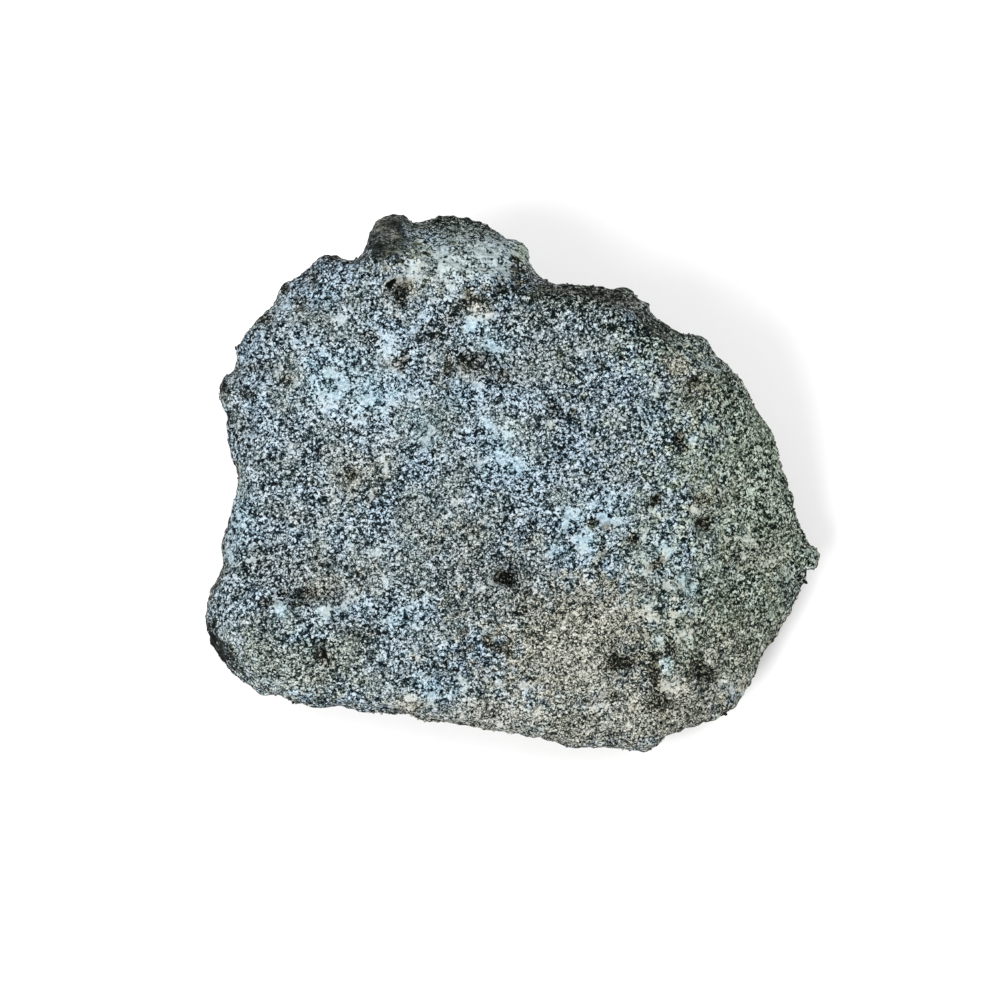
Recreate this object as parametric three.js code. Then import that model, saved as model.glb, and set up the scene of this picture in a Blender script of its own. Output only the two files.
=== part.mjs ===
// A rough turquoise: one broken lump of grainy turquoise rock, lying on its back.
// Lengths are in millimetres and angles in degrees.
// The stone is drawn in its face frame: x to the right and y up the broad face, z out of the face.
import * as THREE from "three";
import { ImprovedNoise } from "three/addons/math/ImprovedNoise.js";

const { degToRad, clamp, smoothstep, lerp } = THREE.MathUtils;

// How the stone lies
const faceLean = 20; // the broad face leans this far towards the front
const originHeight = 29; // height of the face frame's origin over the surface underneath
const eyeDistance = 625; // the outline is drawn as seen from this far in front of the face
const eyeCentre = new THREE.Vector2(-2.5, -2.8);

// The outline of the stone as seen in front of its face, clockwise from the hollow of the left side
const leftSide = [
  [-46.2, -0.3], [-46.2, 1.6], [-47, 3.3], [-47.6, 4.7], [-48.2, 7], [-48.1, 9.1], [-48.9, 11.1],
  [-49.2, 13.5], [-49.3, 15.9], [-48.1, 17.9], [-46.5, 19.3], [-46.4, 21.3], [-45.9, 23.4],
];
const leftShoulder = [
  [-44.3, 25.2], [-42.8, 27.1], [-40.9, 28.5], [-39.9, 30.8], [-38.5, 33.2], [-36.5, 34.6],
  [-34.2, 36.6], [-32.1, 38], [-30.4, 38.3], [-29, 37.3], [-27.7, 37.5], [-26, 38.3],
];
const darkNodule = [
  [-25.5, 40], [-24.3, 42.1], [-22.9, 43.8], [-20.9, 44.9], [-18.5, 44.1], [-16.1, 43.4],
];
const paleBoss = [
  [-14.1, 44.3], [-12.4, 44.8], [-9.7, 44.5], [-8, 44.5], [-5.6, 43.6], [-3.9, 42.9],
  [-2.5, 41.4], [-0.4, 40.9], [1, 40.7], [2.1, 39.5], [2.6, 37], [3.3, 35.1], [4.2, 33.8],
];
const farLedge = [
  [8.4, 33.4], [11.5, 32.8], [14.3, 32.5], [16.8, 32.1], [19.3, 31.7], [20.1, 30.3],
  [21.7, 30], [21.7, 28.8], [23.8, 27.6], [26.6, 25.8], [29.3, 24],
];
const rightSide = [
  [30.5, 24.4], [32.2, 23], [33.6, 21], [35.7, 19.8], [37.8, 17.4], [39.4, 14.9], [40.3, 12.4],
  [41.7, 10.3], [43.6, 8.2], [44.3, 5.1], [45.4, 1.6], [46.6, -1.1], [47, -4.3], [48.3, -7.1],
  [49.4, -10.5],
];
const rightTooth = [[51.9, -11.9], [51.8, -13.4], [49.8, -14.5], [48.4, -15], [48.7, -16.1]];
const rightCorner = [
  [47.7, -18.5], [46.3, -21.7], [43.5, -25.9], [41.2, -29.1], [40.1, -32.2], [38.4, -35.7],
  [36.4, -38.2], [35.6, -39.8], [32.6, -39.8], [29.1, -41], [24.9, -42.7], [22.1, -45],
];
const nearEdge = [
  [19.3, -44.7], [15, -44.1], [9.4, -44.1], [7, -42.9], [3.8, -42.4], [-0.8, -41.8],
  [-4.9, -41.3], [-10, -40.2], [-15.8, -39.3], [-18.5, -38.3], [-22.6, -38.3], [-25.3, -38.4],
  [-28.7, -37.3], [-32.1, -37.3], [-35.5, -37.1], [-38.9, -36.2], [-42, -35.7],
];
const leftFoot = [
  [-44, -34.4], [-45.7, -32.7], [-47.4, -32], [-49.1, -29.6], [-50.6, -27.6], [-51.2, -25.2],
  [-51.1, -22.5], [-51.6, -20.1], [-51, -18], [-49.3, -15.7], [-48.6, -13.3], [-49, -11.6],
  [-48.3, -8.2], [-47.1, -3.8],
];
const outline = [
  leftSide, leftShoulder, darkNodule, paleBoss, farLedge, rightSide, rightTooth, rightCorner,
  nearEdge, leftFoot,
].flat();

// The edge of the face, by compass angle: how far the widest line lies below the face, and how
// wide the rounding between the two is
const rimStations = [
  { angle: -180, drop: 5, round: 5 },
  { angle: -155, drop: 8, round: 3 },
  { angle: -130, drop: 5, round: 3 },
  { angle: -90, drop: 3.5, round: 3 },
  { angle: -62, drop: 3, round: 3 },
  { angle: -40, drop: 4, round: 4 },
  { angle: -14, drop: 4, round: 4 },
  { angle: 15, drop: 5, round: 5 },
  { angle: 45, drop: 5, round: 4 },
  { angle: 75, drop: 6, round: 3.5 },
  { angle: 95, drop: 7, round: 6 },
  { angle: 118, drop: 7, round: 5 },
  { angle: 140, drop: 5, round: 6 },
];

// The broad face and the facets that fall away from it: a point on each crease, the compass angle
// that the facet falls towards, and its slope
const faceHeight = 9;
const creaseRadius = 1.2;
const faceFacets = [
  { x: 30, y: 4, towards: -8, slope: 40 },
  { x: 33, y: -26, towards: -36, slope: 32 },
  { x: 22, y: 25.2, towards: 57, slope: 58 },
  { x: 12, y: 30.2, towards: 78, slope: 60 },
  { x: -33, y: 27, towards: 132, slope: 30 },
  { x: -41, y: 8, towards: 174, slope: 34 },
  { x: -48, y: -27, towards: 202, slope: 68 },
  { x: -10, y: -31, towards: -96, slope: 12 },
  { x: 18, y: -33, towards: -72, slope: 16 },
];

// Lumps that stand proud of the face: place, half sizes and height
const lumps = [
  { x: -20.6, y: 40, wide: 7, high: 6.6, rise: 4.2 },
  { x: -7.5, y: 39.5, wide: 15, high: 10, rise: 3.8 },
  { x: -37, y: -24, wide: 16, high: 11, rise: 2.2 },
  { x: 15, y: -24, wide: 20, high: 13, rise: 2 },
  { x: -26, y: 14, wide: 17, high: 14, rise: 1.8 },
  { x: 12, y: 5, wide: 18, high: 13, rise: 1.6 },
];

// Pits and hollows in the face: place, half width, depth
const pits = [
  { x: -18.7, y: 31.6, reach: 2.6, depth: 1.7 },
  { x: -35.5, y: -18.2, reach: 3.2, depth: 1.8 },
  { x: -27.2, y: 1.2, reach: 2.8, depth: 1.4 },
  { x: -1.2, y: -15.8, reach: 2.6, depth: 1.8 },
  { x: 20.4, y: -9.6, reach: 2.7, depth: 1.6 },
  { x: 17.3, y: -29, reach: 3, depth: 1.7 },
  { x: -6, y: 20.2, reach: 5, depth: 1.5 },
  { x: 7.6, y: 13, reach: 3.4, depth: 1.3 },
  { x: 32.2, y: -6.8, reach: 2.6, depth: 1.3 },
  { x: 29.6, y: 15.6, reach: 2.8, depth: 1.4 },
  { x: -32, y: -28, reach: 2.8, depth: 1.3 },
  { x: -42, y: 19, reach: 2.8, depth: 1.2 },
  { x: 28, y: -36, reach: 3.2, depth: 1.3 },
  { x: 0.4, y: 35, reach: 4, depth: 1.3 },
  { x: -15, y: 33, reach: 5, depth: 1.1 },
  { x: -5, y: 31.5, reach: 5, depth: 0.9 },
  { x: -13.5, y: -32.2, reach: 2.6, depth: 1.2 },
];

// The back of the stone: how full it is, how deep it would bulge below the resting surface, and
// the flat breaks that cut it off: the compass angle each faces, how far it turns down from
// upright, and how far it lies from the origin of the face frame
const fullness = 2.9;
const overcut = 5;
const breakPasses = 3;
const flatBreaks = [
  { towards: 22, down: 17, reach: 42.5 },
  { towards: 60, down: 13, reach: 36.6 },
  { towards: 108, down: 20, reach: 47 },
  { towards: 143, down: 21, reach: 48.6 },
  { towards: 178, down: 18, reach: 48.5 },
  { towards: 212, down: 30, reach: 51.5 },
  { towards: 266, down: 24, reach: 41 },
  { towards: 319, down: 25, reach: 49 },
  { towards: 352, down: 38, reach: 46.5 },
  { towards: 6, down: 55, reach: 41 },
  { towards: 48, down: 40, reach: 47 },
  { towards: 92, down: 33, reach: 50 },
  { towards: 128, down: 52, reach: 43 },
  { towards: 163, down: 42, reach: 45 },
  { towards: 200, down: 55, reach: 37.5 },
  { towards: 244, down: 50, reach: 36 },
  { towards: 285, down: 58, reach: 29.5 },
  { towards: 328, down: 50, reach: 38.5 },
];

// Shell-shaped scars where chips broke away: the centre and radius of a ball that only grazes
// the stone
const scars = [
  { x: 58, y: 22, z: -22, radius: 20 },
  { x: 16, y: 50, z: -18, radius: 20 },
  { x: -32, y: 56, z: -26, radius: 24 },
  { x: -66, y: 10, z: -12, radius: 21 },
  { x: -44, y: -54, z: -14, radius: 24 },
  { x: 36, y: -62, z: -12, radius: 25 },
  { x: 68, y: -20, z: -30, radius: 26 },
];

// Small chips off the most prominent places of the back, in directions spread evenly over it: the
// slopes they start and end at (0 faces sideways, 1 faces down) and the most each takes off
const chipCount = 60;
const chipSlopes = [0.1, 0.92];
const chipDepth = 2.6;
const chipsBelowRim = 13;

// Roughness of the broken rock: wavelength and height of each grade of lump, and the chunks that
// it breaks into
const lumpGrades = [
  { length: 13, height: 1.1 },
  { length: 6.2, height: 0.75 },
];
const chunkSize = 12;
const chunkTilt = 0.2;
const faceRoughness = 0.75; // the broad face broke smoother than the back
const chunkSharpness = 18;
const calmBelowRim = 6; // the outline already has the lumps of the rim itself
const backInset = 0.9; // the back is drawn in, so that its lumps stay behind the outline
const lumpReach = 9; // how far a lump of the outline runs in from the rim
const calmSpan = 10; // the calm line is even over this many rim vertices to either side
const calmInset = 1.2;

// The mesh: vertices round the rim, then the rings over and under it. A ring has every vertex
// round, or every second one and so on (its stride), and lies a spacing inside the one before.
const rimSteps = 192;
const upperRings = [
  { stride: 1, count: 5, spacing: 1.7 },
  { stride: 2, count: 7, spacing: 2 },
  { stride: 4, count: 5, spacing: 2.1 },
  { stride: 8, count: 2, spacing: 2.6 },
  { stride: 16, count: 2, spacing: 3.2 },
];
const lowerRings = [
  { stride: 1, count: 5, spacing: 2.1 },
  { stride: 2, count: 13, spacing: 2.8 },
  { stride: 4, count: 6, spacing: 3.1 },
  { stride: 8, count: 2, spacing: 3.6 },
  { stride: 16, count: 2, spacing: 4 },
];
const ringSpan = 8; // steps of this many neighbouring columns to either side are evened out
const jitter = 0.42; // vertices stray by this share of the mesh's spacing, for uneven facets
const traceSteps = 240;

const noise = new ImprovedNoise();
const yAxis = new THREE.Vector3(0, 1, 0);
const zAxis = new THREE.Vector3(0, 0, 1);
const breakPlanes = flatBreaks.map(({ towards, down, reach }) => ({
  reach,
  normal: new THREE.Vector3(1, 0, 0)
    .applyAxisAngle(yAxis, degToRad(down))
    .applyAxisAngle(zAxis, degToRad(towards)),
}));

// The lower of two heights, blended over the width r so that no crease is a knife edge.
function smoothMin(a, b, r) {
  const h = clamp(0.5 + (b - a) / (2 * r), 0, 1);
  return lerp(b, a, h) - r * h * (1 - h);
}

// How far (x, y) lies in the direction of a compass angle.
function reachTowards(x, y, angle) {
  return x * Math.cos(degToRad(angle)) + y * Math.sin(degToRad(angle));
}

// A value of the rim stations at a compass angle, eased from one station to the next.
function rimValue(angle, key) {
  const last = rimStations.length - 1;
  for (let i = 0; i <= last; i++) {
    const from = rimStations[i];
    const to = rimStations[(i + 1) % (last + 1)];
    const end = i === last ? 180 : to.angle;
    if (angle >= from.angle && angle <= end) {
      return lerp(from[key], to[key], smoothstep(angle, from.angle, end));
    }
  }
  return rimStations[0][key];
}

// Height of the broad face with its facets and lumps, before the pits.
function faceAt(x, y) {
  let height = faceHeight;
  for (const facet of faceFacets) {
    const beyond = reachTowards(x - facet.x, y - facet.y, facet.towards);
    height = smoothMin(height, faceHeight - beyond * Math.tan(degToRad(facet.slope)), creaseRadius);
  }
  for (const lump of lumps) {
    const from = Math.hypot((x - lump.x) / lump.wide, (y - lump.y) / lump.high);
    height += lump.rise * Math.max(0, 1 - from ** 2) ** 2;
  }
  return height;
}

// Depth of the pits at a place on the face.
function pitDepth(x, y) {
  let depth = 0;
  for (const pit of pits) {
    const from = Math.hypot(x - pit.x, y - pit.y) / pit.reach;
    depth = Math.max(depth, pit.depth * (1 - smoothstep(from, 0.25, 1)));
  }
  return depth;
}

// Height of the surface that the stone rests on, in the face frame, sunk by an amount.
function groundAt(y, sunk) {
  const lean = degToRad(faceLean);
  return (-originHeight - sunk - y * Math.sin(lean)) / Math.cos(lean);
}

// The mean of the values within a span either side of each one, round the ring.
function spreadMean(values, span) {
  return values.map((_, i) => {
    let sum = 0;
    for (let k = -span; k <= span; k++) {
      sum += values[(i + k + values.length) % values.length];
    }
    return sum / (2 * span + 1);
  });
}

// The widest line round the stone, and a calm line just inside it that has no small lumps.
function drawRim() {
  const curve = new THREE.CatmullRomCurve3(
    outline.map(([x, y]) => new THREE.Vector3(x, y, 0)),
    true,
    "centripetal",
  );
  curve.arcLengthDivisions = 4000;
  const points = curve.getSpacedPoints(rimSteps).slice(0, rimSteps);
  const step = (2 * Math.PI) / rimSteps;
  const reaches = points.map((point) => point.length());
  const even = spreadMean(reaches, calmSpan);
  const inner = even.map((reach, i) => Math.min(reach, reaches[i]) - calmInset);
  const calmReaches = spreadMean(inner, calmSpan / 2);
  const angles = points.map((point) => Math.atan2(point.y, point.x));
  // The vertices run clockwise, so each angle is told by how far it is off an even clockwise turn.
  const leads = angles.map((angle, i) => {
    const lead = angle - angles[0] + i * step;
    return lead - 2 * Math.PI * Math.round(lead / (2 * Math.PI));
  });
  const calmLeads = spreadMean(leads, calmSpan);
  const rim = points.map((point, i) => {
    const degrees = THREE.MathUtils.radToDeg(angles[i]);
    const drop = rimValue(degrees, "drop");
    return {
      z: faceAt(point.x, point.y) - drop,
      drop,
      round: rimValue(degrees, "round"),
      evenTurn: angles[0] - i * step,
      reach: reaches[i],
      lead: leads[i],
      calmReach: calmReaches[i],
      calmLead: calmLeads[i],
    };
  });
  return [...rim, { ...rim[0], evenTurn: rim[0].evenTurn - 2 * Math.PI }];
}

// The rim at any place round it, counted in vertices.
function rimAt(rim, place) {
  const i = Math.floor(place);
  const mixed = {};
  for (const key of Object.keys(rim[i])) {
    mixed[key] = lerp(rim[i][key], rim[i + 1][key], place - i);
  }
  return mixed;
}

// A point in plan on the way from the rim in to the middle: share is 1 at the rim and 0 in the
// middle. The rim's own small lumps are gone at lumpReach away from it.
function inFromRim(rim, share, away) {
  const kept = 1 - smoothstep(away, 0, lumpReach);
  const reach = rim.calmReach * share + (rim.reach - rim.calmReach) * kept;
  const turn = rim.evenTurn + share * lerp(rim.calmLead, rim.lead, kept);
  return new THREE.Vector2(reach * Math.cos(turn), reach * Math.sin(turn));
}

// The line over the face, from the rim to the middle.
function overFace(rim, way) {
  const inset = way * rim.calmReach;
  const plan = inFromRim(rim, 1 - way, inset);
  const rounding = Math.sqrt(1 - (1 - Math.min(inset / rim.round, 1)) ** 2);
  return new THREE.Vector3(plan.x, plan.y, faceAt(plan.x, plan.y) - rim.drop * (1 - rounding));
}

// The line round the back of the stone, from the rim to the middle of the underside.
function roundBack(rim, way) {
  const turn = (way * Math.PI) / 2;
  const across = way < 1 ? Math.cos(turn) ** (2 / fullness) : 0;
  const down = Math.sin(turn) ** (2 / fullness);
  const y = rim.calmReach * across * Math.sin(rim.evenTurn + rim.calmLead * across);
  const depth = down * (rim.z - groundAt(y, overcut));
  const plan = inFromRim(rim, across, Math.hypot(depth, (1 - across) * rim.calmReach));
  const point = new THREE.Vector3(plan.x, plan.y, rim.z - depth);
  for (let pass = 0; pass < breakPasses; pass++) {
    for (const { normal, reach } of breakPlanes) {
      point.addScaledVector(normal, -Math.max(0, point.dot(normal) - reach));
    }
  }
  return point;
}

// How far along its line each column meets each ring, from 0 at the rim to 1 in the middle.
function ringWays(rim, line, levels) {
  const whole = levels.reduce((sum, level) => sum + level.spacing, 0);
  const columns = rim.slice(0, rimSteps).map((place) => {
    const trace = [...Array(traceSteps + 1).keys()].map((k) => line(place, k / traceSteps));
    const lengths = [0];
    for (let k = 1; k <= traceSteps; k++) {
      lengths.push(lengths[k - 1] + trace[k].distanceTo(trace[k - 1]));
    }
    let travelled = 0;
    let k = 0;
    return levels.map((level) => {
      travelled += level.spacing;
      const wanted = Math.min(travelled / whole, 1) * lengths[traceSteps];
      while (k < traceSteps - 1 && lengths[k + 1] < wanted) {
        k++;
      }
      return (k + (wanted - lengths[k]) / (lengths[k + 1] - lengths[k])) / traceSteps;
    });
  });
  return levels.map((_, i) => spreadMean(columns.map((ways) => ways[i]), ringSpan));
}

// Adds the rings of one half of the stone and joins them into triangles. Every second ring is
// turned by half a step, and the last one closes on the middle.
function meshHalf(vertices, faces, rim, line, rings, outward) {
  const levels = rings.flatMap((ring) =>
    [...Array(ring.count).keys()].map((k) => ({ ...ring, turned: k % 2 === 1 })),
  );
  const ways = ringWays(rim, line, levels);
  const add = (a, b, c) => faces.push(...(outward ? [a, b, c] : [a, c, b]));
  const addVertex = (i, level) => {
    const { stride, turned } = levels[level];
    const stray = [7, 8].map((salt) => jitter * (cellNumber(i, level, stride, salt) - 0.5));
    const place = (i + stride * ((turned ? 0.5 : 0) + stray[0]) + rimSteps) % rimSteps;
    const before = Math.floor(place);
    const after = (before + 1) % rimSteps;
    const [inner, here] = [level + 1, level].map((l) =>
      lerp(ways[l][before], ways[l][after], place - before),
    );
    const way = here + (inner - here) * stray[1];
    return vertices.push(line(rimAt(rim, place), way)) - 1;
  };
  let outer = { row: [...Array(rimSteps).keys()], stride: 1, turned: false };
  levels.slice(0, -1).forEach(({ stride, turned }, level) => {
    const row = [];
    for (let i = 0; i < rimSteps; i += stride) {
      row[i] = addVertex(i, level);
    }
    for (let i = 0; i < rimSteps; i += stride) {
      const next = (i + stride) % rimSteps;
      const half = i + outer.stride;
      if (stride !== outer.stride) {
        add(outer.row[i], outer.row[half], row[i]);
        add(outer.row[half], row[next], row[i]);
        add(outer.row[half], outer.row[next], row[next]);
      } else if (outer.turned) {
        add(outer.row[i], row[next], row[i]);
        add(outer.row[i], outer.row[next], row[next]);
      } else {
        add(outer.row[i], outer.row[next], row[i]);
        add(outer.row[next], row[next], row[i]);
      }
    }
    outer = { row, stride, turned };
  });
  const middle = vertices.push(line(rim[0], 1)) - 1;
  for (let i = 0; i < rimSteps; i += outer.stride) {
    add(outer.row[i], outer.row[(i + outer.stride) % rimSteps], middle);
  }
}

// The stone before its roughness, as an indexed geometry that starts with the rim's vertices.
function smoothStone() {
  const rim = drawRim();
  const vertices = rim.slice(0, rimSteps).map((r) => {
    const plan = inFromRim(r, 1, 0);
    return new THREE.Vector3(plan.x, plan.y, r.z);
  });
  const faces = [];
  meshHalf(vertices, faces, rim, overFace, upperRings, false);
  meshHalf(vertices, faces, rim, roundBack, lowerRings, true);
  const geometry = new THREE.BufferGeometry().setFromPoints(vertices);
  geometry.setIndex(faces);
  geometry.computeVertexNormals();
  return geometry;
}

// One number from 0 to 1 for a whole-number cell and a salt.
function cellNumber(i, j, k, salt) {
  const wave = Math.sin(i * 127.1 + j * 311.7 + k * 74.7 + salt * 53.3) * 43758.5453;
  return wave - Math.floor(wave);
}

// The rock breaks in chunks: each has its own slight tilt, which leaves ledges between them.
function chunkHeight(p) {
  const cell = [p.x, p.y, p.z].map((c) => Math.floor(c / chunkSize));
  let weights = 0;
  let height = 0;
  for (let i = cell[0] - 1; i <= cell[0] + 1; i++) {
    for (let j = cell[1] - 1; j <= cell[1] + 1; j++) {
      for (let k = cell[2] - 1; k <= cell[2] + 1; k++) {
        const centre = [i, j, k].map((c, axis) => (c + cellNumber(i, j, k, axis)) * chunkSize);
        const off = [p.x - centre[0], p.y - centre[1], p.z - centre[2]];
        const tilt = off.reduce((sum, o, axis) => sum + o * (cellNumber(i, j, k, axis + 3) - 0.5), 0);
        const weight = Math.exp((-chunkSharpness * Math.hypot(...off)) / chunkSize);
        weights += weight;
        height += weight * 2 * chunkTilt * tilt;
      }
    }
  }
  return height / weights;
}

// How far each vertex of a geometry is from the nearest one of the rim, as a share of a distance.
function calmShares(geometry, distance) {
  const position = geometry.getAttribute("position");
  const points = [...Array(position.count).keys()].map((i) =>
    new THREE.Vector3().fromBufferAttribute(position, i),
  );
  const rim = points.slice(0, rimSteps);
  return points.map((p) => smoothstep(Math.min(...rim.map((r) => p.distanceTo(r))), 0, distance));
}

// Takes flat chips off the back wherever it reaches out furthest in a direction.
function chip(geometry) {
  const position = geometry.getAttribute("position");
  const calm = calmShares(geometry, chipsBelowRim);
  const p = new THREE.Vector3();
  const golden = Math.PI * (3 - Math.sqrt(5));
  for (let k = 0; k < chipCount; k++) {
    const fall = lerp(...chipSlopes, (k + 0.5) / chipCount);
    const level = Math.sqrt(1 - fall ** 2);
    const normal = new THREE.Vector3(
      level * Math.cos(k * golden),
      level * Math.sin(k * golden),
      -fall,
    );
    const dots = calm.map((_, i) => p.fromBufferAttribute(position, i).dot(normal));
    const reach = Math.max(...dots) - chipDepth * (0.3 + 0.7 * cellNumber(k, 0, 0, 9));
    dots.forEach((dot, i) => {
      if (dot > reach) {
        p.fromBufferAttribute(position, i).addScaledVector(normal, (reach - dot) * calm[i]);
        position.setXYZ(i, p.x, p.y, p.z);
      }
    });
  }
  geometry.computeVertexNormals();
  return geometry;
}

// Moves every vertex along its normal by the lumps, chunks and pits, and grazes off the scars.
function roughen(geometry) {
  const position = geometry.getAttribute("position");
  const normal = geometry.getAttribute("normal");
  const calm = calmShares(geometry, calmBelowRim);
  const p = new THREE.Vector3();
  const n = new THREE.Vector3();
  for (let i = 0; i < position.count; i++) {
    p.fromBufferAttribute(position, i);
    n.fromBufferAttribute(normal, i);
    let height = chunkHeight(p);
    for (const grade of lumpGrades) {
      const q = p.clone().divideScalar(grade.length);
      height += grade.height * noise.noise(q.x + 40, q.y + 40, q.z + 40);
    }
    const onFace = smoothstep(n.z, 0, 0.5);
    height *= lerp(0.15, 1, calm[i]) * lerp(1, faceRoughness, onFace);
    height -= backInset * calm[i] * (1 - onFace);
    height -= pitDepth(p.x, p.y) * smoothstep(n.z, 0.3, 0.75);
    p.addScaledVector(n, height);
    for (const scar of scars) {
      const centre = new THREE.Vector3(scar.x, scar.y, scar.z);
      const away = p.distanceTo(centre);
      if (away < scar.radius) {
        p.sub(centre).setLength(scar.radius).add(centre);
      }
    }
    position.setXYZ(i, p.x, p.y, p.z);
  }
  return geometry;
}

// Spreads the deeper points, which look smaller from the eye, then lays the stone down, flattens
// the spot that it rests on and puts the origin under the middle of its box.
function layDown(geometry) {
  const position = geometry.getAttribute("position");
  for (let i = 0; i < position.count; i++) {
    const spread = 1 - position.getZ(i) / eyeDistance;
    position.setX(i, eyeCentre.x + (position.getX(i) - eyeCentre.x) * spread);
    position.setY(i, eyeCentre.y + (position.getY(i) - eyeCentre.y) * spread);
  }
  geometry.rotateX(degToRad(faceLean));
  geometry.translate(0, 0, originHeight);
  for (let i = 0; i < position.count; i++) {
    position.setZ(i, Math.max(position.getZ(i), 0));
  }
  geometry.computeBoundingBox();
  const middle = geometry.boundingBox.getCenter(new THREE.Vector3());
  geometry.translate(-middle.x, -middle.y, 0);
  geometry.computeVertexNormals();
  return geometry;
}

const rock = new THREE.MeshStandardMaterial({
  name: "speckled_rock",
  color: 0x87969b,
  roughness: 0.9,
  metalness: 0,
  flatShading: true,
});

const stone = new THREE.Mesh(layDown(roughen(chip(smoothStone()))), rock);
stone.name = "rough_turquoise";

const part = new THREE.Group();
part.add(stone);

export default part;
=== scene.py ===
"""The looks of the rough turquoise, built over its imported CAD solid."""

import math

import bmesh
import bpy
import numpy as np
from mathutils import Matrix, Vector, noise


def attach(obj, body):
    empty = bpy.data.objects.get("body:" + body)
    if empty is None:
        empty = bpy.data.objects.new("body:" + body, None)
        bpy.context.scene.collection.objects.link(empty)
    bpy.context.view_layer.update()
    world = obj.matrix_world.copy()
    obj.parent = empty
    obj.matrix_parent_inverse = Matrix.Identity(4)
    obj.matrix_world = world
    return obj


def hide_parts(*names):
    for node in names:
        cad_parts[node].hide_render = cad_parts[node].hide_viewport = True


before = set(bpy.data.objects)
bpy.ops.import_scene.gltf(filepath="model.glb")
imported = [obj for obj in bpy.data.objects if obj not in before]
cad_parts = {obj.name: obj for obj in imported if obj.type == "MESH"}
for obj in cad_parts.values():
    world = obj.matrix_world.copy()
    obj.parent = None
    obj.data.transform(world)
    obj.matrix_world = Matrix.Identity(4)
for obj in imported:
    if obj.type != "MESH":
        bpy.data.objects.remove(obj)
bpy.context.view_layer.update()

# The stone. A lump of grainy turquoise rock that formed as one piece and broke along its grains:
# each grain of about a millimetre is a small bump, some fell out and left pits, and nothing on
# it is smooth. It is blue-grey, green and beige by turns, and lies loose on a worn flat spot.

# Places on the broad face, which leans towards the front, are in millimetres in a frame of its
# own: x to the right, y up the face and z out of it. The camera looks straight down its z from
# 625 mm, and "seen" is where a point appears against z = 0 from there.
FACE_LEAN = math.radians(20)
FACE_ORIGIN = Vector((0.086, -2.099, 29.0))
EYE = Vector((-2.5, -2.83, 625.0))
face_to_world = Matrix.Translation(FACE_ORIGIN) @ Matrix.Rotation(FACE_LEAN, 4, "X")


def seen_in_face(points):
    """Where points in metres appear on the face in millimetres, and their heights over it."""
    local = points * 1000 - np.array(FACE_ORIGIN)
    turned = local @ np.array(Matrix.Rotation(FACE_LEAN, 3, "X"))
    share = 1 / (1 - turned[:, 2:] / EYE.z)
    eye = np.array(EYE.xy)
    return eye + (turned[:, :2] - eye) * share, turned[:, 2]


# The mesh is the CAD solid, evened out to steps of about half a millimetre, then roughened along
# its normals by broad swells, by its grains, by the pits that can be seen one by one and by what
# stands out or is broken off at its rim. Lengths in metres come first, then those in millimetres.
WELD_DISTANCE = 1e-6
MESH_STEP = 0.00056
SOFTEN_STEPS = 5
SOFTEN_SHARE = 0.5
FLOOR_CLEARANCE = 0.00002
swells = [
    # wavelength and height in millimetres
    (4.4, 0.42),
    (2.3, 0.36),
    (1.3, 0.26),
]
SWELL_SHIFT = Vector((17.3, 5.1, 9.7))
BUMP_WIDTH = 1.15
BUMP_HEIGHT = 0.34
BUMP_MIDDLE = 0.55
FALLEN_SHARE = 0.14
FALLEN_DEPTH = 0.45
FALLEN_WALL = 3.0
FALLEN_SALT = 31.7
# how much of that roughness is kept where the surface tilts away from the face
TILT_SOFTENING = 12
KEPT_AT_TILTS = [-0.3, 0.0, 0.4, 0.6]
KEPT_ROUGHNESS = [1.0, 0.7, 0.7, 1.0]
# how far the edges of pits and colour spots wander
RAGGED_WIDTH = 1.7
RAGGED_SHARE = 0.9
RAGGED_SHIFT = Vector((3.1, 8.6, 2.2))
PIT_RAGGED = 1.25
PIT_WALL = 0.7
PIT_TILT = 0.2
LUMP_SOFTNESS = 1.4
LUMPS_END = -18.0
LUMPS_FADE = 5.0
pits = [
    # x, y, half width, depth, all in millimetres in the face frame
    (-18.8, 31.8, 1.6, 0.8),
    (-36.2, -18.6, 2.2, 1.0),
    (-33.6, -18.2, 1.6, 0.9),
    (-41.2, -19.5, 1.3, 0.8),
    (-27.4, 1.6, 1.7, 0.8),
    (-28.6, -0.2, 1.3, 0.7),
    (-1.4, -15.8, 1.5, 1.2),
    (20.2, -9.8, 1.6, 1.1),
    (14.0, -6.8, 1.2, 0.8),
    (18.0, -29.8, 2.0, 1.1),
    (27.2, 7.5, 1.2, 1.0),
    (23.7, -2.8, 1.3, 1.0),
    (32.0, -6.8, 1.5, 1.0),
    (-37.0, -27.3, 1.2, 0.7),
    (-31.8, -28.6, 1.6, 0.9),
    (-13.0, -32.8, 1.3, 0.8),
    (-19.0, 19.7, 1.6, 0.8),
    (-42.0, 19.5, 1.4, 0.8),
    (-6.0, 20.4, 2.4, 0.9),
    (-9.4, 28.4, 2.0, 0.9),
    (7.5, 12.6, 2.2, 0.8),
    (29.6, 16.2, 1.5, 0.9),
    (36.6, -12.2, 1.1, 0.7),
    (30.8, -31.5, 1.4, 0.8),
    (27.5, -37.0, 1.4, 0.8),
    (-3.2, -27.0, 1.4, 0.7),
    (-29.6, 31.0, 1.3, 0.7),
    (16.4, 19.0, 1.5, 0.7),
]
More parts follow.
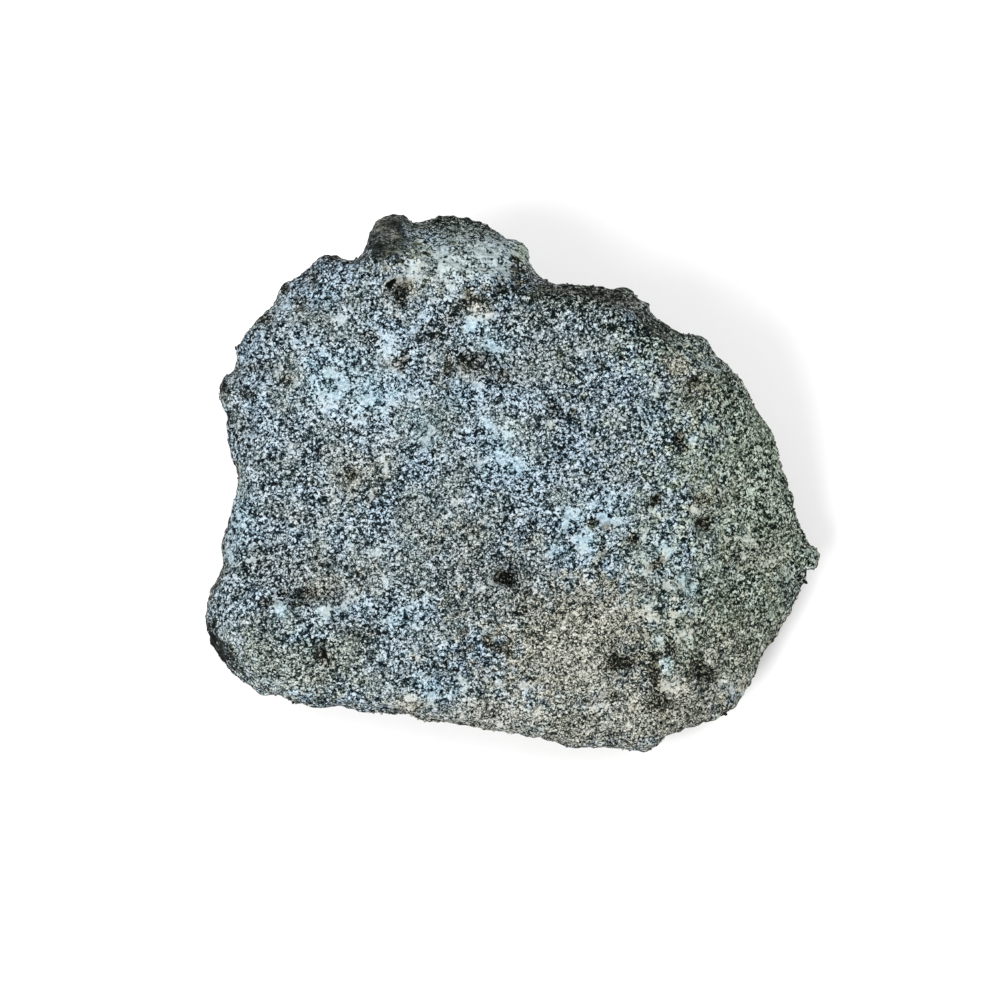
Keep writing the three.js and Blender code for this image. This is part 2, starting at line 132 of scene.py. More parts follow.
lumps = [
    # x, y, half width, height of what stands out at the rim: a corner, a flake and two bumps at
    # the upper right, the nodule's top and flank, a bump at the left, the right tip and its notch
    (18.8, 31.8, 2.0, 0.9),
    (21.4, 29.2, 1.0, 0.8),
    (30.4, 23.6, 2.2, 0.7),
    (9.0, 34.6, 1.6, 0.5),
    (-20.6, 43.6, 2.6, 0.9),
    (-26.6, 39.4, 2.4, -0.8),
    (-49.0, 15.0, 2.4, 0.6),
    (49.8, -12.8, 1.8, 0.9),
    (48.4, -16.0, 1.4, -0.8),
]

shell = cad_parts["rough_turquoise"].data.copy()
welding = bmesh.new()
welding.from_mesh(shell)
bmesh.ops.remove_doubles(welding, verts=welding.verts, dist=WELD_DISTANCE)
welding.to_mesh(shell)
welding.free()
carrier = bpy.data.objects.new("carrier", shell)
bpy.context.scene.collection.objects.link(carrier)
evening = carrier.modifiers.new("evening", "REMESH")
evening.mode = "VOXEL"
evening.voxel_size = MESH_STEP
softening = carrier.modifiers.new("softening", "SMOOTH")
softening.factor = SOFTEN_SHARE
softening.iterations = SOFTEN_STEPS
evaluated = carrier.evaluated_get(bpy.context.evaluated_depsgraph_get())
skin = bpy.data.meshes.new_from_object(evaluated)
bpy.data.objects.remove(carrier)

count = len(skin.vertices)
flat = np.empty(count * 3, np.float32)
skin.vertices.foreach_get("co", flat)
places = flat.reshape(-1, 3).astype(float)
skin.vertices.foreach_get("normal", flat)
normals = flat.reshape(-1, 3).astype(float)

rise = np.zeros(count)
in_millimetres = [Vector(place) * 1000 for place in places]
for number, (length, swell_height) in enumerate(swells, start=1):
    shift = SWELL_SHIFT * number
    rise += swell_height * np.array([noise.noise(p / length + shift) for p in in_millimetres])
for number, point in enumerate(in_millimetres):
    gaps, centres = noise.voronoi(point / BUMP_WIDTH)
    rise[number] += BUMP_HEIGHT * (BUMP_MIDDLE - gaps[0])
    if noise.cell(centres[0] * FALLEN_SALT) < FALLEN_SHARE:
        rise[number] -= FALLEN_DEPTH * min(1.0, FALLEN_WALL * (gaps[1] - gaps[0]))

seen, over = seen_in_face(places)
facing = normals @ np.array(Matrix.Rotation(FACE_LEAN, 3, "X") @ Vector((0, 0, 1)))
ends = np.empty(len(skin.edges) * 2, np.int32)
skin.edges.foreach_get("vertices", ends)
first, second = ends.reshape(-1, 2).T
touching = np.bincount(ends, minlength=count)
tilt = facing.copy()
for _ in range(TILT_SOFTENING):
    sums_of_next = np.bincount(first, tilt[second], count) + np.bincount(second, tilt[first], count)
    tilt = 0.5 * tilt + 0.5 * sums_of_next / touching
rise *= np.interp(tilt, KEPT_AT_TILTS, KEPT_ROUGHNESS)
wander = [noise.noise(p / RAGGED_WIDTH + RAGGED_SHIFT) for p in in_millimetres]
ragged = 1 + RAGGED_SHARE * np.array(wander)
for x, y, reach, depth in pits:
    away = PIT_RAGGED * ragged * np.hypot(seen[:, 0] - x, seen[:, 1] - y) / reach
    rise -= depth * np.clip(1 - away, 0, 1) ** PIT_WALL * (facing > PIT_TILT)
for x, y, reach, lump_height in lumps:
    away = np.hypot(seen[:, 0] - x, seen[:, 1] - y) / reach
    fade = np.clip((over - LUMPS_END) / LUMPS_FADE, 0, 1)
    rise += lump_height * np.clip(LUMP_SOFTNESS - away, 0, 1) * fade
places += normals * rise[:, None] / 1000
places[:, 2] = np.maximum(places[:, 2], FLOOR_CLEARANCE)
skin.vertices.foreach_set("co", places.astype(np.float32).ravel())
skin.update()
skin.name = "stone"
stone = bpy.data.objects.new("stone", skin)
bpy.context.scene.collection.objects.link(stone)
skin.shade_smooth()

# Its colours change from place to place: a blue-grey face with sky-blue and dark spots, a green
# side, a beige corner, a pale boss and a dark nodule, with painted shade along the crest of the
# boss and the upper right rim, where they turn away from the light. The dark spots are partly dark
# rock and partly painted shade in the pits, in the notch and the hollow by the boss and on the
# steep wedge at the lower left; the dark skin is the nodule's own colour and painted shade on that
# wedge. Each is a few soft spots in the face frame, kept as one number per vertex. They end a
# little way down the sides. The weathered crust starts where the surface tilts away from the face,
# and is partly painted shade on the sides that turn away from the light.
SPOT_SOFTNESS = 1.5
FACE_ENDS = -19.0
FACE_FADE = 6.0
CRUST_AND_SHADE_STARTS = 0.42
CRUST_AND_SHADE_FULL = 0.05
sky_blue_spots = [
    # x, y, half width, half height in millimetres, strength
    (-30.8, 16.5, 4.5, 3.0, 0.8),
    (-24.4, 15.0, 3.5, 3.5, 0.9),
    (-28.3, 20.5, 3.0, 2.0, 0.6),
    (-6.7, 26.3, 2.4, 1.6, 0.9),
    (-3.3, 22.8, 2.2, 1.8, 0.9),
    (-2.5, 7.0, 2.6, 3.4, 0.8),
    (-0.5, 2.8, 3.6, 1.8, 0.7),
    (-15.6, 9.5, 3.0, 4.0, 0.6),
    (-10.0, 14.0, 2.5, 2.0, 0.5),
    (12.8, -9.8, 3.4, 1.8, 0.9),
    (7.5, -11.2, 1.8, 1.4, 0.8),
    (10.2, -6.0, 2.4, 2.4, 0.8),
    (15.0, -4.0, 4.5, 3.5, 0.5),
    (-13.3, -34.5, 4.5, 2.0, 0.65),
    (-19.2, -22.8, 3.5, 2.0, 0.6),
    (-30.8, -21.4, 3.0, 1.5, 0.5),
    (-39.2, -21.4, 1.2, 1.6, 0.9),
    (-46.5, -5.0, 3.0, 4.0, 0.6),
    (-47.5, -12.0, 2.4, 2.5, 0.5),
    (25.3, -30.0, 0.9, 2.2, 0.7),
    (23.8, -26.0, 0.8, 1.2, 0.6),
    (29.5, -17.8, 1.4, 1.6, 0.7),
    (28.4, -15.6, 1.4, 1.4, 0.8),
    (24.6, -12.0, 3.0, 3.0, 0.5),
    (-33.0, 31.5, 2.5, 2.0, 0.4),
    (22.0, 12.0, 3.5, 3.0, 0.5),
]
pale_spots = [
    (-12.5, 37.5, 5.0, 4.0, 1.0),
    (-6.5, 37.0, 8.0, 4.2, 1.0),
    (-0.6, 38.2, 3.4, 3.2, 1.0),
    (-10.5, 33.8, 4.5, 2.2, 0.8),
    (-17.0, 35.8, 2.8, 2.2, 0.9),
    (-28.6, 15.0, 6.0, 5.0, 0.6),
    (-23.0, 20.0, 4.0, 5.0, 0.7),
    (-36.5, 29.5, 4.0, 4.0, 0.3),
    (-26.0, 18.0, 16.0, 14.0, 0.32),
    (-16.4, 14.0, 1.2, 2.2, 0.8),
    (-21.4, 23.3, 1.8, 1.8, 0.8),
    (-5.3, 13.3, 1.2, 2.4, 0.7),
    (-8.0, 26.0, 6.0, 5.0, 0.4),
    (-2.0, 6.0, 4.0, 6.0, 0.5),
    (23.5, 8.0, 3.0, 3.0, 0.3),
    (38.0, -11.0, 5.0, 4.0, 0.3),
    (33.6, -7.2, 1.8, 1.3, 0.6),
    (16.7, -36.5, 3.0, 5.0, 0.35),
    (14.0, -10.0, 3.4, 1.8, 0.8),
    (16.5, -8.0, 3.0, 2.2, 0.8),
    (18.0, -8.0, 9.0, 7.0, 0.25),
    (33.0, 2.0, 5.0, 12.0, 0.25),
    (25.3, -30.0, 1.0, 2.4, 0.7),
    (27.5, -20.7, 2.4, 1.2, 0.6),
    (22.4, -21.4, 2.4, 1.4, 0.5),
    (28.7, -25.7, 1.4, 2.2, 0.7),
    (27.0, -34.0, 2.2, 1.6, 0.7),
    (35.0, -34.4, 2.0, 2.0, 0.8),
    (-2.0, -37.0, 7.0, 3.0, 0.4),
    (-45.0, -4.0, 5.0, 6.0, 0.25),
    (-24.0, -10.0, 5.0, 4.0, 0.25),
]
# dark rock, and painted shade in the pits, in the notch and hollow by the boss and on the steep wedge
# at the lower left
dark_spots_and_painted_shade = [
    (-18.8, 31.8, 1.1, 1.5, 0.9),
    (-10.6, 27.2, 1.8, 1.6, 0.6),
    (-7.6, 30.6, 2.0, 0.8, 0.7),
    (-7.4, 20.4, 3.6, 1.4, 0.6),
    (-2.0, 18.0, 1.4, 1.2, 0.6),
    (-19.2, 19.9, 1.6, 1.2, 0.8),
    (-24.2, 24.4, 1.4, 1.2, 0.6),
    (-38.0, 17.0, 1.2, 1.0, 0.6),
    (-13.6, 24.6, 2.4, 1.0, 0.6),
    (-11.4, 18.8, 1.2, 1.0, 0.6),
    (-25.0, -2.8, 1.0, 0.8, 0.5),
    (31.2, -31.8, 2.4, 1.7, 0.65),
    (24.0, -36.5, 2.4, 1.6, 0.5),
    (-40.0, -14.0, 8.0, 4.0, 0.12),
    (-8.0, -14.0, 6.0, 6.0, 0.1),
    (-44.4, 14.8, 1.2, 1.0, 0.6),
    (-27.4, 1.4, 1.0, 1.0, 0.8),
    (-35.4, -18.3, 2.0, 0.7, 0.9),
    (-34.0, -18.0, 0.8, 0.8, 0.9),
    (-41.4, -19.8, 1.2, 1.0, 0.6),
    (-31.6, -28.8, 1.4, 1.0, 0.8),
    (-24.0, -25.0, 0.8, 0.7, 0.8),
    (-1.5, -15.8, 0.8, 0.8, 1.0),
    (2.0, -18.4, 0.8, 0.7, 0.7),
    (1.0, -21.6, 1.2, 0.8, 0.6),
    (-3.4, -27.4, 1.4, 1.0, 0.7),
    (7.4, 12.6, 1.4, 0.7, 0.5),
    (13.0, -6.6, 1.0, 0.6, 0.9),
    (15.6, -7.4, 1.0, 0.7, 0.8),
    (14.6, -10.4, 0.8, 1.4, 0.7),
    (19.8, -9.4, 0.9, 0.9, 1.0),
    (23.6, -14.0, 0.8, 0.7, 0.8),
    (17.9, -30.0, 1.8, 1.4, 1.0),
    (23.2, -31.6, 1.2, 2.2, 0.85),
    (25.8, -28.0, 1.1, 1.1, 0.7),
    (27.2, 7.4, 0.9, 1.1, 1.0),
    (27.9, 5.7, 1.1, 0.7, 0.8),
    (23.8, -2.7, 0.8, 0.7, 0.9),
    (30.6, -2.9, 1.6, 0.7, 0.5),
    (31.6, -6.6, 1.5, 0.9, 1.0),
    (29.8, 16.6, 1.0, 1.2, 0.8),
    (36.6, -12.2, 0.8, 0.6, 0.6),
    # painted shadow in the notch right of the boss and in the hollow under it
    (0.2, 35.4, 1.2, 1.6, 1.0),
    (-3.0, 32.4, 3.4, 0.8, 0.5),
    # painted shade on the steep wedge at the lower left, which turns away from the light
    (-51.0, -23.9, 0.8, 1.6, 0.7),
    (-50.3, -26.6, 1.2, 2.2, 0.9),
    (-49.2, -29.2, 1.5, 2.2, 0.9),
    (-47.8, -31.4, 1.2, 1.4, 0.7),
    (-4.0, -33.0, 9.0, 4.0, 0.06),
    (-42.0, 27.5, 1.3, 0.8, 0.9),
    (-38.6, 32.6, 0.9, 0.8, 0.9),
    (-30.2, 37.8, 1.3, 0.8, 0.9),
    (-48.4, 15.6, 1.3, 1.0, 0.8),
    (-42.2, 19.4, 2.0, 1.3, 0.5),
    (-33.8, 34.2, 1.6, 1.0, 0.6),
    (-36.2, 29.8, 0.9, 1.6, 0.6),
    (36.0, -25.0, 6.0, 8.0, 0.08),
    (-47.0, 9.0, 2.5, 8.0, 0.1),
]
warm_spots = [
    (10.7, -27.8, 15.0, 12.0, 1.0),
    (24.0, -38.0, 15.0, 7.0, 0.95),
    (36.0, -30.0, 9.0, 9.0, 0.55),
    (-2.0, -39.5, 15.0, 4.5, 0.8),
    (12.0, -41.0, 14.0, 4.0, 0.9),
    (-1.0, -18.5, 9.0, 8.0, 0.6),
    (-8.0, -14.0, 6.0, 7.0, 0.4),
    (-5.8, 28.8, 2.5, 2.5, 0.8),
    (26.7, 20.0, 2.6, 2.2, 1.0),
    (14.0, 31.0, 12.0, 3.0, 0.4),
    (8.0, 24.0, 9.0, 6.0, 0.25),
    (33.0, -3.0, 4.0, 3.0, 0.5),
    (18.5, 8.0, 4.5, 6.0, 0.3),
    (41.0, -12.0, 5.0, 4.0, 0.5),
    (29.0, 15.5, 5.0, 5.0, 0.5),
    (-7.5, 19.0, 4.0, 2.0, 0.5),
    (-31.0, -18.0, 5.0, 3.0, 0.6),
    (-38.0, -15.0, 7.0, 6.0, 0.3),
    (-36.0, -31.0, 9.0, 4.0, 0.4),
    (-27.0, -26.0, 6.0, 4.0, 0.25),
    (-17.5, -37.0, 3.2, 2.0, 0.9),
    (-20.0, 32.0, 2.5, 3.0, 0.5),
    (-27.5, 2.0, 5.0, 5.0, 0.5),
    (-37.5, -5.2, 4.0, 2.5, 0.4),
]
green_spots = [
    (45.0, 1.0, 17.0, 26.0, 1.0),
    (38.0, 14.0, 9.0, 10.0, 0.9),
    (38.0, -22.0, 12.0, 14.0, 0.9),
    (14.0, 31.5, 12.0, 3.5, 0.5),
    (26.0, 24.0, 8.0, 5.0, 0.7),
    (21.0, -13.0, 6.0, 5.0, 0.4),
    (23.0, -20.0, 5.0, 5.0, 0.5),
    (27.5, -26.0, 6.0, 7.0, 0.9),
    (-36.0, -30.0, 9.0, 5.0, 0.5),
    (-15.8, 38.8, 2.2, 1.8, 0.7),
    (-8.0, 37.5, 10.0, 4.0, 0.35),
    (-9.0, 43.8, 9.0, 2.6, 0.6),
    (1.7, 38.8, 3.0, 3.2, 0.8),
]
dark_skin_and_shade_spots = [
    (-21.6, 41.6, 3.7, 4.3, 1.0),
    (-22.6, 38.6, 1.6, 2.0, 0.8),
    (-19.4, 40.4, 1.6, 1.8, 0.8),
    # painted shade on the steep wedge at the lower left, which turns away from the light
    (-51.0, -23.9, 0.8, 1.6, 0.42),
    (-50.3, -26.6, 1.2, 2.2, 0.5),
    (-49.2, -29.2, 1.5, 2.2, 0.5),
    (-47.8, -31.4, 1.2, 1.4, 0.42),
]
striped_spots = [(-3.8, 36.6, 5.0, 1.7, 1.0)]
# painted shade where the boss's crest and the upper right rim turn away from the light
painted_crest_shade_spots = [
    (-9.5, 44.0, 8.0, 2.6, 1.0),
    (-3.0, 42.5, 5.0, 2.1, 1.0),
    (2.4, 40.4, 2.4, 1.6, 0.6),
    (14.0, 32.4, 13.0, 3.2, 1.0),
    (26.0, 26.6, 8.0, 3.2, 0.9),
    (37.0, 16.0, 5.0, 4.0, 0.4),
]


def spread(spots):
    """The strongest of some soft-edged oval spots, for each vertex of the face and its rim."""
    value = np.zeros(count)
    for x, y, wide, high, strength in spots:
        away = ragged * np.hypot((seen[:, 0] - x) / wide, (seen[:, 1] - y) / high)
        value = np.maximum(value, strength * np.clip(SPOT_SOFTNESS - away, 0, 1))
    return value * near_face


near_face = np.clip((over - FACE_ENDS) / FACE_FADE, 0, 1)
# darker where the surface tilts away from the face: partly weathered crust, partly painted shade
# where the sides turn away from the light
crust_and_shade = np.clip((CRUST_AND_SHADE_STARTS - tilt) / (CRUST_AND_SHADE_STARTS - CRUST_AND_SHADE_FULL), 0, 1)
for name, values in (("crust_and_shade", crust_and_shade), ("hidden", 1 - near_face), ("up_face", seen[:, 1])):
    field = skin.attributes.new(name, "FLOAT", "POINT")
    field.data.foreach_set("value", values.astype(np.float32))
for name, spots in {
    "sky_blue": sky_blue_spots,
    "pale": pale_spots,
    "dark_and_shade": dark_spots_and_painted_shade,
    "warm": warm_spots,
    "green": green_spots,
    "dark_skin_and_shade": dark_skin_and_shade_spots,
    "painted_crest_shade": painted_crest_shade_spots,
    "striped": striped_spots,
}.items():
    field = skin.attributes.new(name, "FLOAT", "POINT")
    field.data.foreach_set("value", spread(spots).astype(np.float32))

# Its grains, of about half a millimetre, from near black to near white, lie mixed all through it,
# and the whole is dull. The size of each pattern is given as its repeats in a metre.
GRAINS = 3050.0
FINE_GRAINS = 4300.0
LARGE_GRAINS = 1750.0
BENDS = 1800.0
BEND_REACH = 0.0007
EDGES = 1650.0
BLOTCHES = 400.0
PATCHES = 230.0
HUES = 130.0
STRIPES = 10.5
STRIPE_WAVER = 2.0
# how far the edge of a zone is shaken along the grains, and the most of a zone that is shaken
EDGE_SHAKE = 1.6
SHAKEN_AT_MOST = 0.6
# where in a noise or a zone something starts, and where it is full
HIDDEN_BLUE_RANGE = (0.56, 0.64)
HIDDEN_WARM_RANGE = (0.46, 0.38)
BLOTCH_RANGE = (0.625, 0.69)
QUIET_RANGE = (0.49, 0.41)
SMOOTH_DARK_RANGE = (0.35, 0.5)
DRIFT_RANGE = (0.34, 0.6)
# a gain and a shift that turn a noise into patches
CRUST_AND_SHADE_PATCHES = (1.6, -0.1)
DARK_MOTTLE = (1.5, -0.46)
# between the first two numbers the result goes from the third to the fourth
CRYSTAL_TONES = (0.5, 0.62, 0.2, 0.86)
TINT_STRENGTH = (0.3, 0.8, 1.7, 0.75)
# how strongly each thing lightens or darkens a grain; a tone of 0 is black and 1 is near white
MIDDLE_TONE = 0.49
GRAIN_CONTRAST = 0.94
GRAIN_PAINTED_SHADE = 0.7
GRAIN_SHADE_EDGE = 0.42
EDGE_CONTRAST = 0.54
COARSE_EDGE_CONTRAST = 0.72
LARGE_CONTRAST = 0.4
PATCH_CONTRAST = 0.4
PALE_LIFT = 0.17
BLOTCH_LIFT = 0.17
BLOTCH_SHARE = 0.66
QUIET_SHARE = 0.7
FINE_LIFT = 0.04
FINE_SHARE = 0.65
SOLID_TONE = 0.94
STRIPE_CONTRAST = 0.16
CRUST_AND_SHADE_CONTRAST = 0.6
CRUST_AND_SHADE_DROP = -0.65
SMOOTH_DARK_SHARE = 0.65
DARK_DROP = -0.4
CRYSTAL_MARK = 0.01
CRYSTAL_SHARE = 0.7
TONES = (
    # position in the ramp and linear colour
    (0.17, (0.0005, 0.002, 0.0025)),
    (0.36, (0.022, 0.038, 0.042)),
    (0.5, (0.110, 0.141, 0.151)),
    (0.66, (0.245, 0.288, 0.303)),
    (0.8, (0.355, 0.405, 0.427)),
    (0.95, (0.455, 0.51, 0.533)),
)
# tints that multiply the grey of the grains, and how far each one goes
WARM_SIDE = (1.03, 1.0, 0.94, 1)
BLUE_SIDE = (0.90, 1.0, 1.12, 1)
GREEN_GREY = (0.99, 1.0, 0.73, 1)
WARM_GREY = (1.21, 1.0, 0.79, 1)
TURQUOISE = (0.73, 1.0, 1.12, 1)
BROWN = (1.4, 1.0, 0.72, 1)
NO_TINT = (1.0, 1.0, 1.0, 1.0)
GREEN_SHARE = 0.9
WARM_SHARE = 0.9
TURQUOISE_SHARE = 0.6
BROWN_SHARE = 0.5
HUE_SHAKE = 0.08
GRAIN_RELIEF = 0.00025
RELIEF_STRENGTH = 0.35
ROUGHNESS = 0.72
GLOSS = 0.06
rock = bpy.data.materials.new("speckled_rock")
rock.use_nodes = True
tree = rock.node_tree
tree.nodes.clear()


def node(kind, inputs=None, **settings):
    """A shader node with its settings, and its inputs set or linked by name or number."""
    made = tree.nodes.new(kind)
    for key, value in settings.items():
        setattr(made, key, value)
    for key, value in (inputs or {}).items():
        if isinstance(value, bpy.types.NodeSocket):
            tree.links.new(value, made.inputs[key])
        else:
            made.inputs[key].default_value = value
    return made


def sums(operation, a, b=0.0, c=0.0):
    """One step of arithmetic."""
    return node("ShaderNodeMath", {0: a, 1: b, 2: c}, operation=operation).outputs[0]


def off_middle(value):
    """How far a number between 0 and 1 is from its middle."""
    return sums("SUBTRACT", value, 0.5)


def remap(value, low, high, start=0.0, end=1.0):
    """A number moved from one range into another and kept within it."""
    return node("ShaderNodeMapRange", {0: value, 1: low, 2: high, 3: start, 4: end}).outputs[0]


def blend(share, a, b):
    """A mix of two colours."""
    mixed = node("ShaderNodeMix", {0: share, 6: a, 7: b}, data_type="RGBA")
    return mixed.outputs[2]


def field_of(name):
    """A number kept at the stone's vertices."""
    return node("ShaderNodeAttribute", attribute_name=name).outputs["Fac"]


def amount(name):
    """A zone's number, with its edge broken up along the grains."""
    zone = field_of(name)
    shake = sums("MULTIPLY_ADD", edge_noise, EDGE_SHAKE, -EDGE_SHAKE / 2)
    shaken = sums("MULTIPLY_ADD", shake, sums("MINIMUM", zone, SHAKEN_AT_MOST), zone)
    return node("ShaderNodeClamp", {0: shaken}).outputs[0]


def grains_of(scale):
    """One size of grain: its distance to the grain's middle, and three chances for each grain."""
    cells = node("ShaderNodeTexVoronoi", {"Vector": bent, "Scale": scale})
    chances = node("ShaderNodeSeparateColor", {0: cells.outputs["Color"]})
    return cells.outputs["Distance"], chances.outputs


def clouds(scale, detail, roughness=0.5):
    """Soft noise."""
    wanted = {"Vector": place, "Scale": scale, "Detail": detail, "Roughness": roughness}
    return node("ShaderNodeTexNoise", wanted).outputs


place = node("ShaderNodeTexCoord").outputs["Object"]
offset = node(
    "ShaderNodeVectorMath",
    {0: clouds(BENDS, detail=1.0)["Color"], 1: (0.5, 0.5, 0.5)},
    operation="SUBTRACT",
).outputs[0]
bent = node(
    "ShaderNodeVectorMath",
    {0: offset, 1: (BEND_REACH, BEND_REACH, BEND_REACH), 2: place},
    operation="MULTIPLY_ADD",
).outputs[0]
from_middle, cell = grains_of(GRAINS)
_, fine_cell = grains_of(FINE_GRAINS)
_, large_cell = grains_of(LARGE_GRAINS)
edge_noise = clouds(EDGES, detail=2.0, roughness=0.7)["Fac"]
blotch_noise = clouds(BLOTCHES, detail=3.0, roughness=0.55)["Fac"]
patch_noise = clouds(PATCHES, detail=3.0, roughness=0.6)["Fac"]
hue_noise = clouds(HUES, detail=3.0)["Fac"]

sky_blue = amount("sky_blue")
pale = amount("pale")
dark_and_shade = amount("dark_and_shade")
warm = amount("warm")
green = amount("green")
dark_skin_and_shade = amount("dark_skin_and_shade")
painted_crest_shade = amount("painted_crest_shade")
patchy = sums("MULTIPLY_ADD", patch_noise, *CRUST_AND_SHADE_PATCHES)
# the crust and its painted shade, less the pale spots, in patches
crust_and_painted_shade = sums("MULTIPLY", sums("SUBTRACT", amount("crust_and_shade"), pale), patchy)
crust_and_painted_shade = sums("MAXIMUM", crust_and_painted_shade, 0.0)

# the sides and the back have patches of the face's blue and beige
hidden_blue = sums("MULTIPLY", field_of("hidden"), remap(hue_noise, *HIDDEN_BLUE_RANGE))
hidden_warm = sums("MULTIPLY", field_of("hidden"), remap(hue_noise, *HIDDEN_WARM_RANGE))
sky_blue = sums("MAXIMUM", sky_blue, hidden_blue)
warm = sums("MAXIMUM", warm, hidden_warm)

# the grains themselves: coarse and sharp, or fine and quiet in the beige rock
blotch = sums("MULTIPLY_ADD", sums("MAXIMUM", pale, sky_blue), BLOTCH_LIFT, blotch_noise)
solid = remap(blotch, *BLOTCH_RANGE, end=BLOTCH_SHARE)
quiet = remap(hue_noise, *QUIET_RANGE, end=QUIET_SHARE)
fine = sums("MAXIMUM", warm, quiet)
coarse = sums("SUBTRACT", 1.0, fine)
edge_weight = sums("MULTIPLY_ADD", coarse, COARSE_EDGE_CONTRAST, EDGE_CONTRAST)
large_weight = sums("MULTIPLY", coarse, LARGE_CONTRAST)
finer = sums("SUBTRACT", fine_cell[0], cell[0])
grain = sums("MULTIPLY_ADD", sums("MULTIPLY", fine, FINE_SHARE), finer, cell[0])
tone = sums("MULTIPLY_ADD", off_middle(grain), GRAIN_CONTRAST, MIDDLE_TONE)
# each grain is painted lighter at its middle and darker towards its edge: painted light on the grains
# and painted shade between them
tone = sums("MULTIPLY_ADD", sums("SUBTRACT", GRAIN_SHADE_EDGE, from_middle), GRAIN_PAINTED_SHADE, tone)
tone = sums("MULTIPLY_ADD", off_middle(edge_noise), edge_weight, tone)
tone = sums("MULTIPLY_ADD", off_middle(large_cell[0]), large_weight, tone)
tone = sums("MULTIPLY_ADD", off_middle(patch_noise), PATCH_CONTRAST, tone)
tone = sums("MULTIPLY_ADD", pale, PALE_LIFT, tone)
tone = sums("MULTIPLY_ADD", fine, FINE_LIFT, tone)
tone = sums("MULTIPLY_ADD", solid, sums("SUBTRACT", SOLID_TONE, tone), tone)

# fine layers in the pale boss, the painted shade on the crest, the weathered crust and its painted
# shade on the sides, the dark skin and the dark spots
level = sums("MULTIPLY", field_of("up_face"), STRIPES)
waves = sums("MULTIPLY_ADD", edge_noise, STRIPE_WAVER, level)
stripes = sums("MULTIPLY", field_of("striped"), sums("SINE", waves))
tone = sums("MULTIPLY_ADD", stripes, STRIPE_CONTRAST, tone)
crust_and_shade_tone = sums("MULTIPLY_ADD", grain, CRUST_AND_SHADE_CONTRAST, CRUST_AND_SHADE_DROP)
tone = sums("MULTIPLY_ADD", sums("MAXIMUM", painted_crest_shade, crust_and_painted_shade), crust_and_shade_tone, tone)
mottled = sums("MULTIPLY_ADD", patch_noise, *DARK_MOTTLE)
smooth_dark = sums("MULTIPLY", remap(dark_skin_and_shade, *SMOOTH_DARK_RANGE), SMOOTH_DARK_SHARE)
tone = sums("MULTIPLY_ADD", smooth_dark, sums("SUBTRACT", mottled, tone), tone)
tone = sums("MULTIPLY_ADD", dark_and_shade, DARK_DROP, tone)

# each proud grain has a number of its own, which makes it near black or near white; the stone's
# own number is 0 and leaves it as it is
crystal = field_of("crystal")
crystal_tone = remap(crystal, *CRYSTAL_TONES)
crystal_share = remap(crystal, 0.0, CRYSTAL_MARK, end=CRYSTAL_SHARE)
tone = sums("MULTIPLY_ADD", crystal_share, sums("SUBTRACT", crystal_tone, tone), tone)
shade = node("ShaderNodeValToRGB", {0: tone})
stops = shade.color_ramp.elements
stops[0].position = TONES[0][0]
stops[-1].position = TONES[-1][0]
for position, _ in TONES[1:-1]:
    stops.new(position)
for stop, (_, shade_of_grey) in zip(stops, TONES):
    stop.color = (*shade_of_grey, 1)

# the tint drifts between warm and blue, follows the zones, and is strongest in the dark grains
drift = remap(hue_noise, *DRIFT_RANGE)
drift = sums("MULTIPLY_ADD", off_middle(cell[1]), HUE_SHAKE, drift)
tint = blend(node("ShaderNodeClamp", {0: drift}).outputs[0], WARM_SIDE, BLUE_SIDE)
tint = blend(sums("MULTIPLY", green, GREEN_SHARE), tint, GREEN_GREY)
tint = blend(sums("MULTIPLY", warm, WARM_SHARE), tint, WARM_GREY)
tint = blend(sums("MULTIPLY", sky_blue, TURQUOISE_SHARE), tint, TURQUOISE)
darkest = sums("MAXIMUM", sums("MAXIMUM", dark_and_shade, crust_and_painted_shade), dark_skin_and_shade)
tint = blend(sums("MULTIPLY", darkest, BROWN_SHARE), tint, BROWN)
tint = node(
    "ShaderNodeMix",
    {0: remap(tone, *TINT_STRENGTH), 6: NO_TINT, 7: tint},
    data_type="RGBA",
    clamp_factor=False,
).outputs[2]
colour = node(
    "ShaderNodeMix",
    {0: 1.0, 6: shade.outputs[0], 7: tint},
    data_type="RGBA",
    blend_type="MULTIPLY",
).outputs[2]
relief = node(
    "ShaderNodeBump",
    {"Strength": RELIEF_STRENGTH, "Distance": GRAIN_RELIEF, "Height": from_middle},
    invert=True,
).outputs[0]
surface = node(
    "ShaderNodeBsdfPrincipled",
    {"Base Color": colour, "Roughness": ROUGHNESS, "Specular IOR Level": GLOSS, "Normal": relief},
)
node("ShaderNodeOutputMaterial", {"Surface": surface.outputs[0]})
skin.materials.clear()
skin.materials.append(rock)
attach(stone, "root")
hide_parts("rough_turquoise")

# The proud grains. Single hard crystals of half a millimetre, near white or near black, that stand
# out of the stone where the softer rock round them wore away. They are broken bits of no set
# shape, sunk to half their height and fused in it.
GRAIN_SPACING = 0.00125
GRAINS_PER_AREA = 520000.0
GRAIN_SMALLEST = 0.00022
GRAIN_LARGEST = 0.00042
GRAIN_SUNK = 0.00012
GRAIN_STRETCH = (1.4, 0.85, 0.8)
GRAIN_RAGGED = 0.32
GRAIN_SEED = 7
CRYSTAL_SHAPES = 4
LOWEST_NUMBER = 0.02
UNDERSIDE_BARE = 0.0008
FULL_TURN = (math.tau, math.tau, math.tau)
# the lower input and the output that the random node has for each kind of number
RANDOM_SOCKETS = {"FLOAT_VECTOR": (0, 0), "FLOAT": (2, 1), "INT": (4, 2)}

